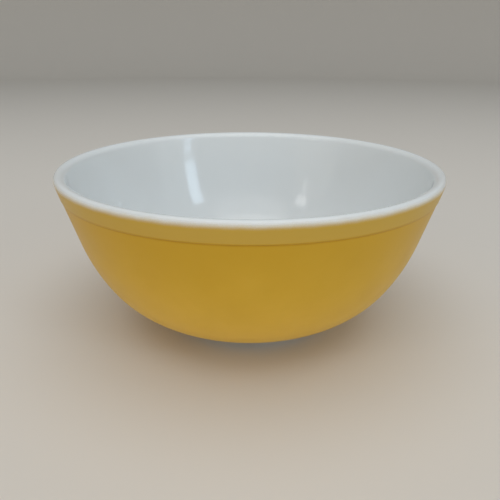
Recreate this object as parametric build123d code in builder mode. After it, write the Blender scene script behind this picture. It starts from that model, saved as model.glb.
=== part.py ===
"""A pressed opal-glass mixing bowl with a fired-on enamel coat.

The origin is at the centre of the foot's resting plane, with +Z up the bowl's axis.
Every face is turned about that axis, so each piece is one section, revolved.
"""

from build123d import *
from math import radians, sin
import os

os.makedirs("parts", exist_ok=True)

# Driving dimensions, in millimetres and degrees.
rim_diameter = 266.7  # over the enamel, at the widest point of the rim
height = 120.0
wall = 6.2  # glass thickness, square to the surface
coat = 0.3  # enamel thickness

# Rim and collar. A lean is measured from vertical, and each turn adds to it.
collar_lean = 14.6
wall_lean = 15.7
bead_radius = 3.1  # round outside of the rim, over the enamel
lip_radius = 4.0  # round inside of the rim
collar_length = 9.4  # straight part of the thickened collar, along its slope
ledge_radius = 0.7  # both bends of the small step under the collar
ledge_turn = 40.0

# Side of the bowl, from under the collar down to the foot.
wall_length = 31.0  # straight part of the wall, along its slope
shoulder_radius, shoulder_turn = 123.0, 16.6
belly_radius, belly_turn = 72.0, 24.3
base_radius, base_turn = 197.0, 11.9
coated_base_turn = 9.4  # the enamel stops short of the foot

# Foot ring, and the shallow recess inside it.
foot_radius = 48.5
foot_land = 6.0  # width of the ring that rests on the table
foot_recess = 2.4
recess_taper = 1.0  # the recess wall leans in by this much
foot_round = 1.0
floor_thickness = 6.2  # glass between the recess and the inside of the bowl

rim_radius = rim_diameter / 2
widest_z = height - bead_radius + coat


def outer_skin(inset, last_turn):
    """Draws the outer face from the rim's widest point down to the base.

    It lies the inset inside the enamel's own face, and its lowest arc runs through
    last_turn. Returns the curves in order, from the top.
    """
    bead = JernArc((rim_radius - inset, widest_z), (0, -1), bead_radius - inset, -collar_lean)
    collar = Line(bead @ 1, bead @ 1 + (bead % 1) * collar_length)
    ledge_out = JernArc(collar @ 1, collar % 1, ledge_radius - inset, -ledge_turn)
    back_turn = ledge_turn + collar_lean - wall_lean
    ledge_in = JernArc(ledge_out @ 1, ledge_out % 1, ledge_radius + inset, back_turn)
    side = Line(ledge_in @ 1, ledge_in @ 1 + (ledge_in % 1) * wall_length)
    shoulder = JernArc(side @ 1, side % 1, shoulder_radius - inset, -shoulder_turn)
    belly = JernArc(shoulder @ 1, shoulder % 1, belly_radius - inset, -belly_turn)
    base = JernArc(belly @ 1, belly % 1, base_radius - inset, -last_turn)
    return [bead, collar, ledge_out, ledge_in, side, shoulder, belly, base]


# The glass body: rim, collar, wall and foot in one pressing.
with BuildPart() as opal_glass_body:
    with BuildSketch(Plane.XZ):
        with BuildLine():
            skin = outer_skin(coat, base_turn)
            bead, shoulder, base = skin[0], skin[5], skin[7]

            # Over the rim, and down the inside with its arcs concentric to the outer ones.
            crown = JernArc(bead @ 0, (0, 1), bead_radius - coat, 90)
            lip = JernArc(crown @ 1, (-1, 0), lip_radius, 90 - wall_lean)
            square_in = (shoulder % 0).rotate(Axis.Z, -90)
            inside = Line(lip @ 1, shoulder @ 0 + square_in * wall)
            inner_shoulder = JernArc(
                inside @ 1, shoulder % 0, shoulder_radius - coat - wall, -shoulder_turn
            )
            inner_belly = JernArc(
                inner_shoulder @ 1, shoulder % 1, belly_radius - coat - wall, -belly_turn
            )

            # The last inside arc levels out at the height of the bowl's floor.
            floor_z = foot_recess + floor_thickness
            lean = wall_lean + shoulder_turn + belly_turn
            drop = (inner_belly @ 1).Y - floor_z
            inner_base = JernArc(
                inner_belly @ 1, inner_belly % 1, drop / (1 - sin(radians(lean))), lean - 90
            )

            # The foot ring under the base, its recess, and back to the bowl's floor.
            recess_radius = foot_radius - foot_land
            Polyline(
                base @ 1,
                (foot_radius, (base @ 1).Y),
                (foot_radius, 0),
                (recess_radius, 0),
                (recess_radius - recess_taper, foot_recess),
                (0, foot_recess),
                (0, floor_z),
                inner_base @ 1,
            )
        make_face()
        foot_corners = vertices().filter_by_position(Axis.Y, 0, foot_recess)
        fillet([v for v in foot_corners if v.X > 1], foot_round)
    revolve(axis=Axis.Z)

# The enamel: a thin even coat from the rim's widest point to short of the foot.
with BuildPart() as yellow_enamel_coat:
    with BuildSketch(Plane.XZ):
        with BuildLine():
            face = outer_skin(0, coated_base_turn)
            back = outer_skin(coat, coated_base_turn)
            Line(face[0] @ 0, back[0] @ 0)
            Line(face[7] @ 1, back[7] @ 1)
        make_face()
    revolve(axis=Axis.Z)

opal_glass_body.part.label = "opal_glass_body"
export_step(opal_glass_body.part, "parts/opal_glass_body.step")

yellow_enamel_coat.part.label = "yellow_enamel_coat"
export_step(yellow_enamel_coat.part, "parts/yellow_enamel_coat.step")
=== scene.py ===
"""A pressed opal-glass mixing bowl with a fired-on yellow enamel coat.

Metres throughout, in the part's own frame: the bowl's axis is Z and it rests on z = 0.
"""

import math

import bmesh
import bpy
from mathutils import Matrix, Vector


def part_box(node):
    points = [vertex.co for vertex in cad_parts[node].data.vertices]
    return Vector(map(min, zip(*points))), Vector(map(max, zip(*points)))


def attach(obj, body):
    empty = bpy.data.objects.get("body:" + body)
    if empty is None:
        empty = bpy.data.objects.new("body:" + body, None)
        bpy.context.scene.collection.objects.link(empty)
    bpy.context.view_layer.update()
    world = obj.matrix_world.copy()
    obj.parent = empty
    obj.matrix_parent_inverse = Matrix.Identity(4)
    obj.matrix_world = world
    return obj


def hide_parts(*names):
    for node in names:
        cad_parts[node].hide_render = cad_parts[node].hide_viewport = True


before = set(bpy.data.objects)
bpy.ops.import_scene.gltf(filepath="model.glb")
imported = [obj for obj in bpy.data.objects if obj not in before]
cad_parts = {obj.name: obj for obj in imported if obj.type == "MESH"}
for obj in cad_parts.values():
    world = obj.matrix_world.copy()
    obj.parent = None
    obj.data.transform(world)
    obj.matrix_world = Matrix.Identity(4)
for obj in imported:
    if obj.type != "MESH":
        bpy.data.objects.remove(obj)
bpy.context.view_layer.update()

MM = 0.001
RIM_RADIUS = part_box("yellow_enamel_coat")[1].x
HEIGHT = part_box("opal_glass_body")[1].z

# The pressing's section. Leans are in degrees from vertical, and turns add to them.
WALL = 6.4 * MM
COAT = 0.1 * MM
COLLAR_LEAN, WALL_LEAN = 14.6, 15.7
BEAD_RADIUS, LIP_RADIUS = 2.9 * MM, 5.0 * MM
COLLAR_LENGTH = 9.4 * MM
LEDGE_RADIUS, LEDGE_TURN = 0.7 * MM, 40.0
WALL_LENGTH = 31.0 * MM
SHOULDER_RADIUS, SHOULDER_TURN = 123.0 * MM, 16.6
BELLY_RADIUS, BELLY_TURN = 72.0 * MM, 24.3
BASE_RADIUS, BASE_TURN = 197.0 * MM, 11.9
FLOOR_THICKNESS = 6.2 * MM
LIP_LEAN, HOLLOW_TURN = 10.5, 4.5

# The enamel runs from just over the rim's widest point to short of the foot.
COATED_BEAD_TURN = 35.0
COATED_BASE_TURN = 9.4
FEATHER = 3.0 * MM
SUNK = 0.02  # how much of the coat's thickness its thin edges lie under the glass
SPRAY_FADE = 4.8 * MM
RIM_EDGE_RISE, FOOT_EDGE_RISE = 0.2 * MM, 1.2 * MM
OVERSPRAY_START, OVERSPRAY_FULL = 3.4 * MM, 2.2 * MM  # in from the rim's widest point
FOOT_FADE = 0.6 * MM
LEDGE_SHADOW_WIDTH = 1.2 * MM  # how far the painted shadow line spreads above and below the ledge
SCUFF_HEIGHT, SCUFF_FULL = 0.5 * MM, 0.1 * MM

FOOT_RADIUS, FOOT_LAND, FOOT_ROUND = 48.5 * MM, 6.0 * MM, 1.0 * MM
FOOT_CORNER = 0.8 * MM
FOOT_RECESS, RECESS_TAPER = 2.4 * MM, 22.6

SEGMENTS = 288
WAVINESS, WAVE_SIZE, WAVE_SEED = 0.12 * MM, 60 * MM, 4.0
WELD = 0.002 * MM


# ---------------------------------------------------------------- sections


def direction(angle):
    return Vector((math.cos(angle), 0, math.sin(angle)))


class Section:
    """A line walked in the XZ plane, in straight runs and arcs that leave one another smoothly."""

    LONGEST_STEP = 2.5 * MM
    ARC_STEP = math.radians(9)

    def __init__(self, x, z, heading):
        self.points = [Vector((x, 0, z))]
        self.heading = math.radians(heading)

    @property
    def end(self):
        return self.points[-1]

    def run(self, length):
        steps = max(1, math.ceil(length / self.LONGEST_STEP))
        start = self.end
        for i in range(1, steps + 1):
            self.points.append(start + direction(self.heading) * (length * i / steps))
        return self

    def arc(self, radius, turn):
        """Turns left through a positive number of degrees, and right through a negative one."""
        turn = math.radians(turn)
        step = min(self.ARC_STEP, self.LONGEST_STEP / radius)
        steps = math.ceil(abs(turn) / step)
        side = math.copysign(math.pi / 2, turn)
        centre = self.end + direction(self.heading + side) * radius
        for i in range(1, steps + 1):
            self.points.append(centre + direction(self.heading + turn * i / steps - side) * radius)
        self.heading += turn
        return self


def outer_skin(inset, first_turn, last_turn):
    """The outer face from the rim down to the base, inset from the enamel's face.

    It starts first_turn degrees above the rim's widest point, and its lowest arc runs
    through last_turn degrees.
    """
    bead = BEAD_RADIUS - inset
    centre = Vector((RIM_RADIUS - BEAD_RADIUS, 0, HEIGHT - BEAD_RADIUS + COAT))
    start = centre + direction(math.radians(first_turn)) * bead
    skin = Section(start.x, start.z, first_turn - 90)
    skin.arc(bead, -first_turn - COLLAR_LEAN).run(COLLAR_LENGTH)
    skin.arc(LEDGE_RADIUS - inset, -LEDGE_TURN)
    skin.ledge_z = skin.end.z
    skin.arc(LEDGE_RADIUS + inset, LEDGE_TURN + COLLAR_LEAN - WALL_LEAN).run(WALL_LENGTH)
    skin.shoulder_start = skin.end
    skin.arc(SHOULDER_RADIUS - inset, -SHOULDER_TURN)
    skin.arc(BELLY_RADIUS - inset, -BELLY_TURN)
    skin.arc(BASE_RADIUS - inset, -last_turn)
    return skin


def inside_skin(outer):
    """Over the rim from its widest point, and down the inside to the middle of the floor."""
    start = outer.points[0]
    skin = Section(start.x, start.z, 90)
    skin.arc(BEAD_RADIUS - COAT, 90)
    skin.arc(LIP_RADIUS, 90 - LIP_LEAN)

    # The inside shoulder is one wall thickness in from the outer one, and the wall above
    # it is slightly hollow, so that it meets the shoulder a few degrees down.
    inset = COAT + WALL
    corner = outer.shoulder_start + direction(math.radians(180 - WALL_LEAN)) * WALL
    shoulder = Section(corner.x, corner.z, -90 - WALL_LEAN)
    shoulder.arc(SHOULDER_RADIUS - inset, -HOLLOW_TURN)
    wall = shoulder.end - skin.end
    slope = math.atan2(wall.z, wall.x)
    half_turn = slope - shoulder.heading
    skin.heading = slope + half_turn
    skin.arc(wall.length / (2 * math.sin(half_turn)), math.degrees(-2 * half_turn))
    skin.arc(SHOULDER_RADIUS - inset, HOLLOW_TURN - SHOULDER_TURN)
    skin.arc(BELLY_RADIUS - inset, -BELLY_TURN)

    # The last arc levels out at the floor.
    lean = math.radians(WALL_LEAN + SHOULDER_TURN + BELLY_TURN)
    drop = skin.end.z - FOOT_RECESS - FLOOR_THICKNESS
    skin.arc(drop / (1 - math.sin(lean)), math.degrees(lean) - 90)
    skin.run(skin.end.x)
    return skin


def foot_skin(outer):
    """From the end of the base, round the foot ring and across its recess to the axis."""
    skin = Section(outer.end.x, outer.end.z, -180)
    skin.run(outer.end.x - FOOT_RADIUS - FOOT_CORNER)
    skin.arc(FOOT_CORNER, 90)
    skin.run(skin.end.z - FOOT_ROUND)
    skin.arc(FOOT_ROUND, -90)
    skin.run(FOOT_LAND - 2 * FOOT_ROUND)
    skin.arc(FOOT_ROUND, RECESS_TAPER - 90)
    taper = math.radians(RECESS_TAPER)
    rise = FOOT_RECESS - 2 * FOOT_ROUND * (1 - math.sin(taper))
    skin.run(rise / math.cos(taper))
    skin.arc(FOOT_ROUND, 90 - RECESS_TAPER)
    skin.run(skin.end.x)
    return skin


def body_section():
    """The whole pressing, walked up its outside and down its inside.

    That direction makes its faces point outwards.
    """
    outer = outer_skin(COAT, 0, BASE_TURN)
    under = foot_skin(outer)
    return under.points[::-1] + outer.points[-2::-1] + inside_skin(outer).points[1:]


def coat_section():
    """The enamel's face, thinning to nothing at both edges, and its back just inside the glass."""
    glass = outer_skin(COAT, COATED_BEAD_TURN, COATED_BASE_TURN).points[::-1]
    gone = [0.0]
    for here, there in zip(glass, glass[1:]):
        gone.append(gone[-1] + (there - here).length)
    face, back = [], []
    for i, point in enumerate(glass):
        along = glass[min(i + 1, len(glass) - 1)] - glass[max(i - 1, 0)]
        out = Vector((along.z, 0, -along.x)).normalized()
        to_edge = min(gone[i], gone[-1] - gone[i])
        fade = min(1.0, to_edge / FEATHER)
        face.append(point + out * COAT * (fade * fade * (3 - 2 * fade) - SUNK))
        back.append(point - out * COAT)
    return face + back[::-1] + face[:1]


# ---------------------------------------------------------------- node trees


class Value:
    """A socket that can be used in sums: every operator adds one Math node to its tree."""

    def __init__(self, tree, socket):
        self.tree = tree
        self.socket = socket

    def __add__(self, other):
        return self.tree.maths("ADD", self, other)

    def __sub__(self, other):
        return self.tree.maths("SUBTRACT", self, other)

    def __rsub__(self, other):
        return self.tree.maths("SUBTRACT", other, self)

    def __mul__(self, other):
        return self.tree.maths("MULTIPLY", self, other)

    def __truediv__(self, other):
        return self.tree.maths("DIVIDE", self, other)

    def __rtruediv__(self, other):
        return self.tree.maths("DIVIDE", other, self)

    def __mod__(self, other):
        return self.tree.maths("MODULO", self, other)

    __radd__ = __add__
    __rmul__ = __mul__


class Tree:
    """Builds a shader or geometry node tree one node at a time."""

    def __init__(self, node_tree):
        self.nodes = node_tree.nodes
        self.links = node_tree.links

    def node(self, kind, settings=None, sockets=None, out=None):
        """Adds a node with its settings and its sockets' values or links, and returns an output."""
        node = self.nodes.new(kind)
        for name, setting in (settings or {}).items():
            setattr(node, name, setting)
        for name, value in (sockets or {}).items():
            socket = self.in_use(node.inputs, name)
            if isinstance(value, Value):
                self.links.new(value.socket, socket)
            else:
                socket.default_value = value
        return Value(self, self.in_use(node.outputs, out)) if node.outputs else None

    def in_use(self, sockets, name):
        """The socket of that name or place. Many nodes keep unused sockets of the same name."""
        if isinstance(name, int):
            return sockets[name]
        return next(s for s in sockets if s.enabled and name in (None, s.name))

    def maths(self, operation, *values):
        return self.node("ShaderNodeMath", {"operation": operation}, dict(enumerate(values)))

    def vector(self, x, y, z):
        return self.node("ShaderNodeCombineXYZ", None, {"X": x, "Y": y, "Z": z})

    def parts(self, vector):
        return [
            self.node("ShaderNodeSeparateXYZ", None, {"Vector": vector}, axis) for axis in "XYZ"
        ]


# ---------------------------------------------------------------- turned pieces


def turned_tree():
    """Geometry nodes that turn a section about Z and give the skin a pressing's slight waviness."""
    group = bpy.data.node_groups.new("turned_section", "GeometryNodeTree")
    ports = group.interface
    inputs = {
        "Section": "Geometry",
        "Segments": "Int",
        "Waviness": "Float",
        "Wave Size": "Float",
        "Seed": "Float",
        "Finish": "Material",
    }
    for name, kind in inputs.items():
        ports.new_socket(name, in_out="INPUT", socket_type="NodeSocket" + kind)
    ports.new_socket("Piece", in_out="OUTPUT", socket_type="NodeSocketGeometry")

    tree = Tree(group)
    given = {name: tree.node("NodeGroupInput", out=name) for name in inputs}
    stations = tree.node(
        "GeometryNodeAttributeDomainSize", {"component": "MESH"}, {"Geometry": given["Section"]}
    )
    sheet = tree.node(
        "GeometryNodeMeshGrid",
        None,
        {"Vertices X": given["Segments"] + 1, "Vertices Y": stations},
    )
    unwrap = Value(tree, sheet.socket.node.outputs["UV Map"])
    unwrapped = tree.node(
        "GeometryNodeStoreNamedAttribute",
        {"data_type": "FLOAT2", "domain": "CORNER"},
        {"Geometry": sheet, "Name": "UVMap", "Value": unwrap},
    )

    # Each column of the grid is the section, turned to that column's angle.
    index = tree.node("GeometryNodeInputIndex")
    station = index % stations
    column = tree.maths("FLOOR", index / stations)
    angle = column / given["Segments"] * math.tau
    place = tree.node(
        "GeometryNodeSampleIndex",
        {"data_type": "FLOAT_VECTOR", "domain": "POINT"},
        {
            "Geometry": given["Section"],
            "Value": tree.node("GeometryNodeInputPosition"),
            "Index": station,
        },
    )
    radius, _, height = tree.parts(place)
    x = tree.maths("COSINE", angle)
    y = tree.maths("SINE", angle)
    wave = tree.node(
        "ShaderNodeTexNoise",
        {"noise_dimensions": "4D"},
        {
            "Vector": tree.vector(x * radius, y * radius, height),
            "W": given["Seed"],
            "Scale": 1 / given["Wave Size"],
            "Detail": 1.0,
        },
    )
    wavy = radius - tree.maths("MINIMUM", wave * given["Waviness"], radius)
    turned = tree.node(
        "GeometryNodeSetPosition",
        None,
        {"Geometry": unwrapped, "Position": tree.vector(x * wavy, y * wavy, height)},
    )
    closed = tree.node(
        "GeometryNodeMergeByDistance", None, {"Geometry": turned, "Distance": WELD}
    )
    smooth = tree.node("GeometryNodeSetShadeSmooth", None, {"Geometry": closed})
    real = tree.node("GeometryNodeRealizeInstances", None, {"Geometry": smooth})
    finished = tree.node(
        "GeometryNodeSetMaterial", None, {"Geometry": real, "Material": given["Finish"]}
    )
    tree.node("NodeGroupOutput", None, {"Piece": finished})
    return group


def turned_piece(name, section, tree, finish):
    """Turns a section and keeps the result as a plain mesh."""
    outline = bpy.data.meshes.new(name)
    edges = [(i, i + 1) for i in range(len(section) - 1)]
    outline.from_pydata(section, edges, [])
    piece = bpy.data.objects.new(name, outline)
    bpy.context.scene.collection.objects.link(piece)
    modifier = piece.modifiers.new("turn", "NODES")
    modifier.node_group = tree
    inputs = {
        "Segments": SEGMENTS,
        "Waviness": WAVINESS,
        "Wave Size": WAVE_SIZE,
        "Seed": WAVE_SEED,
        "Finish": finish,
    }
    for item in tree.interface.items_tree:
        if item.name in inputs:
            modifier[item.identifier] = inputs[item.name]
    evaluated = piece.evaluated_get(bpy.context.evaluated_depsgraph_get())
    piece.data = bpy.data.meshes.new_from_object(evaluated)
    piece.data.materials.pop(index=0)  # the grid brings an empty first slot
    piece.modifiers.clear()
    return piece


# ---------------------------------------------------------------- finishes

OPAL_WHITE = (0.80, 0.82, 0.82, 1)
OPAL_SHADE = (0.77, 0.79, 0.79, 1)
OPAL_WORN = (0.45, 0.45, 0.45, 1)

# The low enamel colour is lighter as painted light: it stands in for the light the floor throws up
# onto the lower wall.
ENAMEL_PAINTED_BOUNCE = (0.88, 0.545, 0.074, 1)
ENAMEL_HIGH = (0.65, 0.378, 0.026, 1)
ENAMEL_COLLAR = (0.63, 0.40, 0.066, 1)
# A painted shadow: the dark line where the collar steps in at the ledge.
ENAMEL_LEDGE_SHADOW = (0.52, 0.26, 0.008, 1)


class Finish(Tree):
    """A material with one Principled shader. Its patterns are worked out in Object coordinates."""

    def __init__(self, name, **constants):
        self.material = bpy.data.materials.new(name)
        self.material.use_nodes = True
        super().__init__(self.material.node_tree)
        self.shader = self.nodes["Principled BSDF"]
        for socket, value in constants.items():
            self.shader.inputs[socket.replace("_", " ")].default_value = value
        self.place = self.node("ShaderNodeTexCoord", out="Object")

    def set(self, socket, value):
        self.links.new(value.socket, self.shader.inputs[socket])

    def noise(self, size, detail=2.0, roughness=0.5, vector=None, seed=0.0):
        sockets = {
            "Vector": vector or self.place,
            "W": seed,
            "Scale": 1 / size,
            "Detail": detail,
            "Roughness": roughness,
        }
        return self.node("ShaderNodeTexNoise", {"noise_dimensions": "4D"}, sockets)

    def ramp(self, value, low, high):
        """0 at low, 1 at high, and smooth between them. Low may be the larger."""
        sockets = {"Value": value, "From Min": low, "From Max": high}
        return self.node("ShaderNodeMapRange", {"interpolation_type": "SMOOTHSTEP"}, sockets)

    def mix(self, factor, a, b):
        return self.node(
            "ShaderNodeMix", {"data_type": "RGBA"}, {"Factor": factor, "A": a, "B": b}
        )

    def bump(self, height, depth, normal=None):
        sockets = {"Height": height, "Distance": depth, "Strength": 1.0}
        if normal:
            sockets["Normal"] = normal
        return self.node("ShaderNodeBump", None, sockets)

    def height(self):
        """How high each point of the surface stands."""
        return self.parts(self.place)[2]

    def round_marks(self, size, length, seed):
        """Fine streaks that run round the bowl, as a spoon or a whisk leaves them."""
        x, y, z = self.parts(self.place)
        radius = self.maths("SQRT", x * x + y * y + 1e-8)
        around = length / size
        stretched = self.vector(x / radius / around, y / radius / around, radius + z * 0.6)
        return self.noise(size, 1.0, 0.4, stretched, seed)

    def sprayed(self, edge_z):
        """How much enamel the spray left: it fades out over a few millimetres towards the rim."""
        ragged = (self.noise(9 * MM, 3.0, seed=1.0) - 0.5) * (1.2 * MM)
        speckled = (self.noise(0.35 * MM, 1.0, seed=6.0) - 0.5) * (1.4 * MM)
        height = self.height() + ragged + speckled
        return self.ramp(height, edge_z + SPRAY_FADE / 2, edge_z - SPRAY_FADE / 2)


def opal_glass(edge_z):
    """White glass with faint utensil marks, a scuffed foot and a breath of overspray at the rim."""
    finish = Finish(
        "opal_glass",
        IOR=1.51,
        Subsurface_Weight=0.35,
        Subsurface_Radius=(1.0, 0.95, 0.9),
        Subsurface_Scale=1.5 * MM,
    )
    cloud = finish.noise(45 * MM, 3.0, seed=2.0)
    marks = finish.ramp(finish.round_marks(0.35 * MM, 60 * MM, 5.0), 0.66, 0.74)
    patches = finish.ramp(finish.noise(30 * MM, 2.0, seed=9.0), 0.48, 0.7)
    worn = marks * patches
    x, y, z = finish.parts(finish.place)
    radius = finish.maths("SQRT", x * x + y * y)
    outside = finish.ramp(radius, RIM_RADIUS - OVERSPRAY_START, RIM_RADIUS - OVERSPRAY_FULL)
    colour = finish.mix(cloud * 0.5, OPAL_WHITE, OPAL_SHADE)
    colour = finish.mix(worn * 0.10, colour, OPAL_WORN)
    scuffs = finish.ramp(finish.noise(1.5 * MM, 4.0, 0.7, seed=15.0), 0.4, 0.6)
    scuffed = scuffs * finish.ramp(z, SCUFF_HEIGHT, SCUFF_FULL)
    colour = finish.mix(scuffed * 0.45, colour, OPAL_WORN)
    colour = finish.mix(finish.sprayed(edge_z) * outside, colour, ENAMEL_COLLAR)
    finish.set("Base Color", colour)
    smudge = finish.noise(18 * MM, 4.0, 0.6, seed=12.0)
    finish.set("Roughness", 0.06 + smudge * 0.07 + worn * 0.2 + scuffed * 0.4)
    ripple = finish.bump(finish.noise(14 * MM, 1.0, seed=3.0), 0.04 * MM)
    finish.set("Normal", finish.bump(worn, 0.004 * MM, ripple))
    return finish.material


def yellow_enamel(edge_z, ledge_z, foot_edge_z):
    """Fired enamel, lighter low on the wall with painted bounce light from the floor, duller on the
    collar, and with a painted shadow line along the ledge.
    """
    finish = Finish(
        "yellow_enamel",
        IOR=1.5,
        Specular_IOR_Level=0.2,
        Subsurface_Weight=0.1,
        Subsurface_Radius=(1.0, 0.8, 0.4),
        Subsurface_Scale=0.5 * MM,
    )
    z = finish.height()
    ragged = (finish.noise(11 * MM, 5.0, 0.65, seed=7.0) - 0.5) * (1.2 * MM)
    bottom = finish.ramp(z + ragged, foot_edge_z, foot_edge_z + FOOT_FADE)
    cover = finish.sprayed(edge_z) * bottom

    mottle = finish.noise(30 * MM, 4.0, 0.6, seed=8.0) - 0.5
    # Painted light: the enamel grows lighter towards the bottom, as if lit by the floor, broken up
    # by a random mottle.
    painted_bounce_light = finish.ramp(z / HEIGHT + mottle * 0.35, ledge_z / HEIGHT, 0.05)
    collar = finish.ramp(z, ledge_z - 0.4 * MM, ledge_z + 1.2 * MM)
    # A painted shadow line along the ledge's step, darkest just below it.
    from_ledge = finish.maths("ABSOLUTE", z - ledge_z + 0.3 * MM)
    ledge_shadow = finish.ramp(from_ledge, LEDGE_SHADOW_WIDTH, 0.1 * MM)
    colour = finish.mix(painted_bounce_light, ENAMEL_HIGH, ENAMEL_PAINTED_BOUNCE)
    colour = finish.mix(collar, colour, ENAMEL_COLLAR)
    colour = finish.mix(ledge_shadow * 0.6, colour, ENAMEL_LEDGE_SHADOW)
    finish.set("Base Color", finish.mix(cover, OPAL_WHITE, colour))

    smudge = finish.noise(22 * MM, 4.0, 0.6, seed=13.0)
    finish.set("Roughness", 0.12 + cover * (0.18 + smudge * 0.10))
    peel = finish.bump(finish.noise(2.6 * MM, 2.0, seed=4.0), 0.012 * MM)
    finish.set("Normal", finish.bump(finish.noise(16 * MM, 1.0, seed=3.0), 0.06 * MM, peel))
    return finish.material


# ---------------------------------------------------------------- the bowl

tree = turned_tree()
outer = outer_skin(COAT, 0, COATED_BASE_TURN)
rim_edge_z = outer.points[0].z + RIM_EDGE_RISE
foot_edge_z = outer.end.z + FOOT_EDGE_RISE
glass = turned_piece("pressed_opal_body", body_section(), tree, opal_glass(rim_edge_z))
enamel_finish = yellow_enamel(rim_edge_z, outer.ledge_z, foot_edge_z)
enamel = turned_piece("fired_enamel", coat_section(), tree, enamel_finish)
for piece, node, finish_slot in (
    (glass, "opal_glass_body", "opal_glass"),
    (enamel, "yellow_enamel_coat", "yellow_enamel"),
):
    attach(piece, "root")
    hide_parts(node)


# ---------------------------------------------------------------- studio

PAPER_COLOUR = (0.74, 0.69, 0.63, 1)
PAPER_REACH, PAPER_BEND, PAPER_RISE = 3.2, 0.8, 1.2
BEND_STEPS, PAPER_SEGMENTS = 16, 96

WHITE_LIGHT = (1.0, 1.0, 1.0)
COOL_LIGHT = (0.62, 0.82, 1.0)
ROOM_COLOUR, ROOM_STRENGTH = (0.92, 0.98, 1.0), 0.34

# The camera's lens and sensor width are in millimetres, and its angles in degrees.
LENS, SENSOR_WIDTH = 35.28, 36.0
CAMERA_BACK, CAMERA_RISE = 0.3503, 0.0754
CAMERA_TURN, CAMERA_TILT, CAMERA_ROLL = -0.068, 22.43, 0.239


def studio_paper():
    """A round pale floor that sweeps up into a low wall on every side."""
    line = [(0.0, 0.0)]
    for i in range(BEND_STEPS + 1):
        angle = math.radians(90 * i / BEND_STEPS)
        out = PAPER_REACH + PAPER_BEND * math.sin(angle)
        line.append((out, PAPER_BEND * (1 - math.cos(angle))))
    line.append((PAPER_REACH + PAPER_BEND, PAPER_RISE))
    paper_mesh = bmesh.new()
    verts = [paper_mesh.verts.new((x, 0, z)) for x, z in line]
    edges = [paper_mesh.edges.new(pair) for pair in zip(verts, verts[1:])]
    bmesh.ops.spin(
        paper_mesh,
        geom=verts + edges,
        axis=(0, 0, 1),
        cent=(0, 0, 0),
        angle=math.tau,
        steps=PAPER_SEGMENTS,
    )
    bmesh.ops.remove_doubles(paper_mesh, verts=paper_mesh.verts, dist=MM)
    bmesh.ops.recalc_face_normals(paper_mesh, faces=paper_mesh.faces)
    mesh = bpy.data.meshes.new("studio_paper")
    paper_mesh.to_mesh(mesh)
    mesh.shade_smooth()
    paper = bpy.data.objects.new("studio_paper", mesh)
    bpy.context.scene.collection.objects.link(paper)
    finish = Finish("paper", Roughness=0.85, Base_Color=PAPER_COLOUR)
    mesh.materials.append(finish.material)


def area_light(name, shape, place, target, size, power, colour):
    """A softbox at a place and facing the target."""
    lamp = bpy.data.lights.new(name, "AREA")
    lamp.shape = shape
    lamp.size, lamp.size_y = size
    lamp.energy = power
    lamp.color = colour
    light = bpy.data.objects.new(name, lamp)
    bpy.context.scene.collection.objects.link(light)
    away = Vector(place) - Vector(target)
    facing = away.to_track_quat("Z", "Y").to_matrix().to_4x4()
    light.matrix_world = Matrix.Translation(place) @ facing


def polar(azimuth, elevation, distance):
    """A place seen from the bowl. Azimuth 0 is in front, towards -Y, and it grows towards +X."""
    azimuth, elevation = math.radians(azimuth), math.radians(elevation)
    flat = distance * math.cos(elevation)
    rise = distance * math.sin(elevation)
    return Vector((flat * math.sin(azimuth), -flat * math.cos(azimuth), rise))


def room_light(colour, strength):
    world = bpy.data.worlds.new("room")
    world.use_nodes = True
    background = world.node_tree.nodes["Background"]
    background.inputs["Color"].default_value = (*colour, 1)
    background.inputs["Strength"].default_value = strength
    bpy.context.scene.world = world


def main_camera():
    """Standing in front of the bowl, a little above its rim and looking down into it."""
    lens = bpy.data.cameras.new("camera")
    lens.lens, lens.sensor_width = LENS, SENSOR_WIDTH
    camera = bpy.data.objects.new("camera", lens)
    bpy.context.scene.collection.objects.link(camera)
    turn = Matrix.Rotation(math.radians(CAMERA_TURN), 4, "Z")
    tilt = Matrix.Rotation(math.radians(90 - CAMERA_TILT), 4, "X")
    roll = Matrix.Rotation(math.radians(CAMERA_ROLL), 4, "Z")
    place = Matrix.Translation((0, -CAMERA_BACK, HEIGHT + CAMERA_RISE))
    camera.matrix_world = place @ turn @ tilt @ roll
    bpy.context.scene.camera = camera


studio_paper()
room_light(ROOM_COLOUR, ROOM_STRENGTH)
bowl_middle = (0, 0, HEIGHT / 2)

# Angles are in degrees from the bowl, and powers in watts. The last four lamps are small,
# and each gives the glossy inside a highlight.
for name, shape, azimuth, elevation, distance, size, power, colour in (
    ("overhead", "ELLIPSE", 0, 80, 2.2, (2.8, 2.4), 19.5, WHITE_LIGHT),
    ("upper_front", "ELLIPSE", 0, 50, 2.4, (2.4, 1.4), 4.6, WHITE_LIGHT),
    ("low_front", "ELLIPSE", 0, 6.5, 2.6, (2.4, 0.5), 6.7, WHITE_LIGHT),
    ("front_left", "ELLIPSE", -55, 14, 2.6, (1.6, 1.4), 2.2, (1.0, 0.92, 0.78)),
    ("front_right", "ELLIPSE", 60, 14, 2.6, (1.6, 1.2), 1.8, (0.80, 0.93, 1.0)),
    ("tall_window", "RECTANGLE", 50.5, 26.2, 2.2, (0.33, 0.63), 3.5, COOL_LIGHT),
    ("window_pane", "RECTANGLE", 50.1, 15.2, 2.2, (0.19, 0.034), 0.24, COOL_LIGHT),
    ("small_window", "RECTANGLE", -50.5, 32.5, 2.2, (0.33, 0.33), 1.0, WHITE_LIGHT),
    ("window_slit", "RECTANGLE", -50, 25, 2.2, (0.12, 0.18), 0.10, WHITE_LIGHT),
):
    place = polar(azimuth, elevation, distance)
    area_light(name, shape, place, bowl_middle, size, power, colour)
main_camera()
bpy.context.scene.view_settings.view_transform = "Standard"
